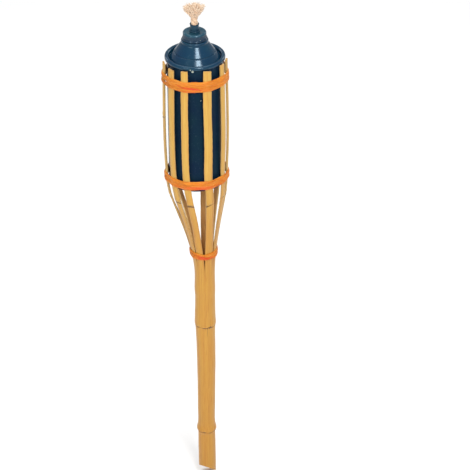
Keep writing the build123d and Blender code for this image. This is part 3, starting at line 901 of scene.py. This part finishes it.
def flank(foot, top, shares):
    """Points on a straight flank, at shares of the way up it."""
    return [(foot[0] + (top[0] - foot[0]) * t, foot[1] + (top[1] - foot[1]) * t) for t in shares]


def thread(neck_r):
    """The neck's thread: a helical ridge that fades in and out."""
    length, pitch, height = 1.75, 3.0 * MM, 0.6 * MM
    turns = np.linspace(0, length, 170)
    angle, z = 2 * math.pi * turns, SHOULDER_Z + 24.2 * MM + pitch * turns
    high = height * ease(turns * 8) * ease((length - turns) * 8) + 0.02 * MM
    corners = [(-0.75, -0.2), (-0.3, 1.0), (0.3, 1.0), (0.75, -0.2)]
    ridge = np.zeros((len(turns), len(corners), 3))
    for k, (side, out) in enumerate(corners):
        r = neck_r + (high * out if out > 0 else -0.15 * MM)
        ridge[:, k] = stack(CAN_X + r * np.sin(angle), CAN_Y - r * np.cos(angle), z + side * MM)
    return ridge


def canister_top():
    """The rolled rim, the gutter inside it, the stepped shoulder, the collar and the neck."""
    node = "canister_top"
    rim, neck_top = radius(node) / MM, (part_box(node)[1].z - SHOULDER_Z) / MM
    bead, floor, low, sheet = 2.4, 29.6, -1.4, SHEET / MM
    wall = rim - 2 * bead
    profile = [(rim - 1.9, RIM_UP - 4.6), (rim - 0.5, RIM_UP - 4.4), (rim, RIM_UP - 3.9)]
    profile += [(rim + 0.02, RIM_UP - 3.0)] + arc(rim - bead, RIM_UP - bead, bead, 0, 172, 18)
    profile += [(wall - 0.03, RIM_UP - bead), (wall, low + 0.4), (wall - 0.15, low), (floor + 0.1, low)]
    # the cone is one straight flank to its pressed ring and another above it
    ring_z = 7.7
    ring = skin_radius(node, SHOULDER_Z + ring_z * MM) / MM
    top = skin_radius(node, SHOULDER_Z + 17.5 * MM) / MM - 0.5
    cone = flank((floor, low), (ring, ring_z), np.linspace(0.02, 0.93, 14))
    cone += [(ring + 0.16, ring_z - 0.42), (ring - 0.62, ring_z - 0.30)]
    cone += [(ring - 0.66, ring_z + 0.30), (ring - 0.30, ring_z + 0.46)]
    cone += flank((ring, ring_z), (top, 18.6), np.linspace(0.07, 1.0, 20))
    collar = skin_radius(node, SHOULDER_Z + 21 * MM) / MM
    neck = skin_radius(node, SHOULDER_Z + (neck_top - 0.4) * MM) / MM
    profile += cone + [(collar - 0.1, 19.3)] + arc(collar - 1.5, 21.2, 1.5, -35, 85, 12)
    profile += [(neck + 0.4, 22.9), (neck, 23.3), (neck, neck_top - 0.3), (neck - 0.15, neck_top)]
    profile += [(neck - 0.45, neck_top), (neck - 0.6, neck_top - 0.3), (neck - 0.6, 22.3)]
    profile += [(collar - 0.6, 21.8)] + [(r - sheet, h - sheet) for r, h in cone[:3:-6]]
    profile += [(floor - sheet, low - sheet), (wall + sheet, low - sheet), (wall + sheet, RIM_UP - 4.4)]
    rows = turned(in_metres(profile, SHOULDER_Z), AXIS, 240)
    form = Form()
    form.tube(rows, closed=True, chip=chips_and_glints(rows, [(-9, 574.7, 0.9), (-5, 574.2, 0.7)]))
    form.tube(thread(neck * MM), chip=0.25)
    return form.piece("canister_shoulder", SHOULDER_ENAMEL_PAINTED_LIGHT, "canister", "canister_enamel", ["canister_top"], 50)


def canister_bottom():
    """The end plate set up inside its seam ring, with a stiffening ring pressed in it."""
    z0, z1 = span("canister_bottom")
    r, top = radius("canister_bottom") / MM, (z1 - z0) / MM
    profile = [(1, 2.0)] + [(x, 2.0 - 0.5 * float(bell((x - 22) / 1.2))) for x in np.arange(4, 29.6, 0.8)]
    profile += [(30.6, 1.6), (31.4, 0.3), (31.9, 0.02)] + arc(r - 0.8, 0.8, 0.8, -80, 0, 7)
    profile += arc(r - 0.6, top - 0.6, 0.6, 0, 85, 6) + [(31.6, top), (31.2, 2.6), (28, 2.5), (1, 2.5)]
    form = Form()
    form.tube(turned(in_metres(profile, z0), AXIS, 180), chip=0.0)
    return form.piece("canister_base", ENAMEL, "canister", "canister_enamel", ["canister_bottom"])


# ---- cap, tube, wick ------------------------------------------------------------------------

KNURLS = 40


def screw_cap():
    """The pressed cap: dished top, rounded shoulder, knurled skirt, and a rolled bead at its foot."""
    z0, z1 = span("screw_cap")
    bead_r = radius("screw_cap")
    r = skin_radius("screw_cap", z0 + 6.9 * MM)
    hole, inner = bore_radius("screw_cap", z1 - 0.6 * MM), bore_radius("screw_cap", z0 + 1.0 * MM)

    def shape(reach, z, angles):
        on = ease((z - z0 - 2.4 * MM) / (0.6 * MM)) * ease((z1 - 2.2 * MM - z) / (0.5 * MM))
        on *= reach > r - 0.3 * MM
        return reach - on * 0.34 * MM * (0.5 + 0.5 * np.cos(angles * KNURLS)) ** 2

    profile = [(inner, z0 + 0.2 * MM), (inner + 0.4 * MM, z0)]
    profile += arc(bead_r - 0.9 * MM, z0 + 0.9 * MM, 0.9 * MM, -75, 80, 12)
    profile += [(r + 0.15 * MM, z0 + 1.95 * MM), (r, z0 + 2.3 * MM)]
    profile += [(r, z) for z in np.arange(z0 + 2.6 * MM, z1 - 2.2 * MM, 0.3 * MM)]
    profile += arc(r - 2.1 * MM, z1 - 2.1 * MM, 2.1 * MM, 0, 90, 14)
    dish = 9.5 * MM  # the radius of the top's shallow dish
    profile += [(r - 3.2 * MM, z1), (dish + 0.4 * MM, z1 - 0.05 * MM), (dish, z1 - 0.32 * MM)]
    profile += [(hole + 0.6 * MM, z1 - 0.35 * MM), (hole, z1 - 0.42 * MM), (hole, z1 - 0.8 * MM)]
    profile += [(inner - 1 * MM, z1 - 0.85 * MM), (inner, z1 - 1.6 * MM)]
    rows = turned(profile, AXIS, 320, shape)
    form = Form()
    # painted shade: the skirt darkened below the top
    deep = ease((z1 - 1.3 * MM - rows[:, :, 2]) / (1.6 * MM))
    # the two pale spots on the cap's right are painted glints
    form.tube(rows, closed=True, deep=deep, chip=chips_and_glints(rows, [(30, 601, 0.4), (52, 605, 0.35)]))
    return form.piece("knurled_cap", CAP_ENAMEL_PAINTED_LIGHT, "cap", "cap_enamel", ["screw_cap"], 35)


def wick_tube():
    """The thin tube with its rolled mouth, the collar above the cap and the flange under it."""
    z0, z1 = span("wick_tube")
    low = z0 + 1 * MM
    inner, r, flange = bore_radius("wick_tube", low), skin_radius("wick_tube", low), radius("wick_tube")
    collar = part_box("screw_cap")[1].z - 0.25 * MM
    profile = [(inner, z0 + 0.1 * MM), (inner + 0.15 * MM, z0), (r, z0 + 0.15 * MM)]
    profile += [(r, collar - 1.4 * MM), (flange, collar - 1.35 * MM), (flange, collar - 0.7 * MM)]
    profile += [(r, collar - 0.65 * MM), (r, collar), (r + 0.9 * MM, collar)]
    profile += arc(r + 0.45 * MM, collar + 0.95 * MM, 0.55 * MM, 0, 90, 6)
    profile += [(r + 0.1 * MM, collar + 1.6 * MM), (r, collar + 2.0 * MM)]
    profile += [(r, z) for z in np.arange(collar + 2.6 * MM, z1 - 1.4 * MM, 0.8 * MM)]
    profile += arc(r - 0.05 * MM, z1 - 0.45 * MM, 0.42 * MM, -60, 170, 12)
    profile += [(inner, z1 - 0.7 * MM)] + [(inner, z) for z in np.arange(z1 - 2 * MM, z0 + 1 * MM, -4 * MM)]
    rows = turned(profile, AXIS, 96)
    form = Form()
    form.tube(rows, closed=True, chip=0.35 * bell((rows[:, :, 2] - z1) / (0.5 * MM)))
    return form.piece("wick_holder", TUBE_ENAMEL, "holder", "tube_metal", ["wick_tube"], 50)


WICK_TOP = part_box("wick")[1].z
# The rope's route: beside the canister's axis, and the height above the shoulder's foot.
WICK_ROUTE = [
    (0.0, 0.0, 41.0), (0.0, 0.0, -38.0), (-1.0, 0.6, -74.0), (-0.6, 2.0, -112.0), (-1.6, 1.4, -147.0),
]


def smooth_route(points):
    """The route's own NURBS line, as an array of points."""
    curve = bpy.data.curves.new("wick_route", "CURVE")
    curve.dimensions = "3D"
    spline = curve.splines.new("NURBS")
    spline.points.add(len(points) - 1)
    for point, place in zip(spline.points, points):
        point.co = (*place, 1.0)
    spline.order_u = 3
    spline.use_endpoint_u = True
    curve.resolution_u = 24
    line = bpy.data.objects.new("wick_route", curve)
    mesh = bpy.data.meshes.new_from_object(line)
    path = np.array([v.co for v in mesh.vertices])
    bpy.data.objects.remove(line)
    return path


def along_path(path, count):
    """The path again, as evenly spaced points."""
    steps = np.linalg.norm(np.diff(path, axis=0), axis=1)
    run = np.concatenate([[0], np.cumsum(steps)])
    even = np.linspace(0, run[-1], count)
    return np.column_stack([np.interp(even, run, path[:, c]) for c in range(3)]), even


STRANDS, LAY, STRAND_SIDES = 3, 21 * MM, 18


def helix(run, k, out):
    """How far strand k stands off the rope's centreline, after a run along it."""
    turn = 2 * math.pi * (run / LAY + k / STRANDS)
    return stack(out * np.sin(turn), -out * np.cos(turn), 0.0)


def strand(form, k, line, size, yarn, turn, drawn, tip):
    """One strand: yarn is its grooves' depth, turn how far round they have gone, drawn its grain."""
    around = full_turn(STRAND_SIDES)
    grooved = 1 + yarn * np.sin(6 * around - turn[:, None])
    rows = line[:, None] + (wire(line, size, STRAND_SIDES) - line[:, None]) * grooved[..., None]
    form.tube(rows, tip=tip, grain=stack(around * 2.3 + 9 * k, drawn[0][:, None], drawn[1][:, None]))


def wick_rope():
    """Three strands laid up round the route, each with its own twist of yarns."""
    route = [(CAN_X + x * MM, CAN_Y + y * MM, SHOULDER_Z + z * MM) for x, y, z in WICK_ROUTE]
    line, run = along_path(smooth_route(route), 300)
    form = Form()
    for k in range(STRANDS):
        centre = line + helix(run, k, 2.15 * MM)
        strand(form, k, centre, 2.3 * MM, 0.07, run / (1.5 * MM), (run / MM * 0.3, run / MM), 0.0)
    return form.piece("wick_rope", WICK, "wick", "wick", ["wick"], 80), line


def wick_head():
    """The strands come out of the tube, open, and fray into yarns and hairs."""
    z0 = span("wick_tip")[0]
    centre = np.array([CAN_X, CAN_Y, 0.0])
    form = Form()
    rng = random.Random(11)
    t = np.linspace(0, 1, 40)
    z = z0 + t * 13.5 * MM
    opening = ease((t - 0.68) / 0.32)
    yarn = 0.06 + 0.10 * ease((t[:, None] - 0.6) / 0.4)
    for k in range(STRANDS):
        line = stack(CAN_X, CAN_Y, z) + helix(WICK_TOP - z, k, (2.05 + 1.7 * opening) * MM)
        strand(form, k, line, (2.2 + 0.9 * opening) * MM, yarn, t * 14, (t * 4, t * 14), 0.15)
    heart = np.array([CAN_X, CAN_Y, z0 + 20.8 * MM])

    def draw(*ranges):
        """A random vector, each part from its own range."""
        return np.array([rng.uniform(low, high) for low, high in ranges])

    def fray(target, size, steps, sides, root_r, tip):
        """One yarn or hair that leaves the stem near its top and curls over to its target."""
        bearing = math.atan2(target[0] - CAN_X, -(target[1] - CAN_Y)) + rng.uniform(-0.5, 0.5)
        foot = z0 + rng.uniform(9.3, 12) * MM
        root = centre + np.array([root_r * math.sin(bearing), -root_r * math.cos(bearing), foot])
        elbow = root + (0.72, 0.72, 0.42) * (target - root) + draw((-1, 1), (-1, 1), (-1, 1)) * 0.9 * MM
        away = (target - heart) * [0.14, 0.14, 0.0]
        curl = target + away + draw((-1, 1), (-1, 1), (-1.9, 0.4)) * 1.1 * MM
        s = np.linspace(0, 1, steps)[:, None]
        line = (1 - s) ** 3 * root + 3 * s * (1 - s) ** 2 * elbow + 3 * s**2 * (1 - s) * target + s**3 * curl
        line += np.column_stack([wander(s[:, 0], rng.random() * 999, 0.45, 0.22 * MM) for _ in range(3)])
        shape = size * np.clip(1.1 - 0.75 * s[:, 0] ** 2, 0.2, 1) * np.clip((1.03 - s[:, 0]) * 9, 0.25, 1)
        grain = stack(rng.uniform(0, 90), s * 2, s * 12 + np.zeros(sides))
        # paler towards the yarn's end; its root, deep in the mop, keeps the darker painted shade
        pale = ease(s * 1.2 - 0.15) * tip + np.zeros(sides)
        form.tube(wire(line, shape, sides, rng.uniform(0, 6)), tip=pale, grain=grain)

    def somewhere(low, high, reach):
        """A place on the mop: 1 at its crown, 0 at its widest, -1 where its underside meets the stem."""
        a, h = rng.uniform(0, 2 * math.pi), rng.uniform(low, high)
        lobes = 1 + 0.10 * math.sin(3 * a + 1) + 0.05 * math.sin(5 * a)
        if h > 0:
            flat, up = math.sqrt(1 - h * h) * reach * lobes, 6.4 * h * reach * MM
        else:
            flat, up = (0.50 + 0.50 * (1 + h) ** 0.75) * reach * lobes, 8.4 * h * MM
        return heart + np.array([10.8 * MM * flat * math.sin(a), -8.6 * MM * flat * math.cos(a), up])

    def mop(count, low, high, reach, size, steps, sides, root_r, tip):
        """Yarns or hairs that end on the mop, between two heights on it."""
        for _ in range(count):
            target = somewhere(low, high, rng.uniform(*reach))
            fray(target, rng.uniform(*size) * MM, steps, sides, root_r * MM, tip)

    def tuft(count, place, size, root_r, tip):
        """Yarns that end together, in a box beside the mop's heart."""
        for _ in range(count):
            target = heart + draw(*place) * MM
            fray(target, rng.uniform(*size) * MM, 12, 6, root_r * MM, tip)

    mop(190, -0.9, 0.3, (0.75, 1.0), (0.7, 1.15), 12, 7, 2.6, 0.6)
    mop(150, 0.1, 1.0, (0.6, 1.0), (0.7, 1.15), 12, 7, 1.8, 0.8)
    tuft(46, ((-11.2, -8.0), (-4, 2), (-3.0, 3.0)), (0.6, 1.1), 2.2, 0.6)
    tuft(20, ((8.8, 11.4), (-2, 1), (1.0, 4.6)), (0.4, 0.8), 2.4, 1.0)
    mop(280, -0.7, 1.0, (0.95, 1.12), (0.07, 0.16), 10, 4, 2.8, 1.0)
    return form.piece("wick_frayed_head", WICK, "wick", "wick", ["wick_tip"], 80)


# ---- building it ----------------------------------------------------------------------------

pole()
for number in range(len(STAVES)):
    stave(number)
upper_band()
lower_band()
neck_band()
canister_body()
canister_top()
canister_bottom()
screw_cap()
wick_tube()
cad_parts["cap_seal"].data.materials.clear()
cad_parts["cap_seal"].data.materials.append(SEAL)
rope, rope_line = wick_rope()
head = wick_head()

# ---- floor, light and camera ----------------------------------------------------------------


def studio_floor():
    s = Shader("studio_floor", Specular_IOR_Level=0.1)
    cloud = s.noise(s.node("TexCoord").outputs["Object"], 3.0, 2.0, 0.5)
    material = s.finish(Base_Color=s.ramp(cloud, (0.3, 0.90), (0.7, 0.92)), Roughness=0.9)
    size = 9.0
    mesh = bpy.data.meshes.new("floor")
    corners = [(x * size, y * size, POLE_FOOT) for x, y in ((-1, -1), (1, -1), (1, 1), (-1, 1))]
    mesh.from_pydata(corners, [], [(0, 1, 2, 3)])
    mesh.materials.append(material)
    floor = bpy.data.objects.new("floor", mesh)
    bpy.context.scene.collection.objects.link(floor)


def softbox(name, place, target, size, power):
    light = bpy.data.lights.new(name, "AREA")
    light.shape = "RECTANGLE"
    light.size, light.size_y = size
    light.energy = power
    lamp = bpy.data.objects.new(name, light)
    lamp.location = place
    lamp.rotation_euler = (Vector(target) - Vector(place)).to_track_quat("-Z", "Y").to_euler()
    bpy.context.scene.collection.objects.link(lamp)


def studio():
    scene = bpy.context.scene
    scene.view_settings.view_transform = "Standard"
    world = bpy.data.worlds.new("studio")
    world.use_nodes = True
    world.node_tree.nodes["Background"].inputs["Color"].default_value = (1.0, 1.0, 1.0, 1)
    world.node_tree.nodes["Background"].inputs["Strength"].default_value = 0.42
    scene.world = world
    softbox("overhead", (0.0, 0.6, 3.4), (0.0, 0.3, 0.0), (3.0, 3.0), 58.0)
    softbox("key", (-1.75, -2.6, 1.75), (0.0, 0.0, 0.35), (1.3, 1.0), 27.0)
    softbox("fill", (1.9, -2.3, 1.6), (0.0, 0.0, 0.35), (1.2, 1.0), 2.0)
    softbox("back_left", (-2.2, 2.3, 1.8), (0.0, 0.0, 0.35), (1.2, 1.0), 12.0)
    softbox("back_right", (2.2, 2.3, 1.8), (0.0, 0.0, 0.35), (1.2, 1.0), 12.0)
    softbox("window", (0.52, -1.61, 1.91), (0.0, 0.0, 0.59), (0.70, 0.60), 30.0)


DISTANCE, HEIGHT = 2500.0 * MM, 1845.5 * MM
PITCH, AIM, ROLL = math.radians(31.139), math.radians(0.842), math.radians(-0.345)
FOCUS, FRAME_PX, SENSOR = 2439.7, 470.0, 36.0


def camera():
    ahead = Vector((math.sin(AIM) * math.cos(PITCH), math.cos(AIM) * math.cos(PITCH), -math.sin(PITCH)))
    right = Vector((math.cos(AIM), -math.sin(AIM), 0.0))
    up = right.cross(ahead)
    right, up = (
        right * math.cos(ROLL) + up * math.sin(ROLL),
        up * math.cos(ROLL) - right * math.sin(ROLL),
    )
    data = bpy.data.cameras.new("camera")
    data.sensor_width = SENSOR
    data.lens = FOCUS * SENSOR / FRAME_PX
    data.clip_end = 50.0
    made = bpy.data.objects.new("camera", data)
    turn = Matrix((right, up, -ahead)).transposed().to_4x4()
    made.matrix_world = Matrix.Translation((0.0, -DISTANCE, HEIGHT)) @ turn
    bpy.context.scene.collection.objects.link(made)
    bpy.context.scene.camera = made


studio_floor()
studio()
camera()
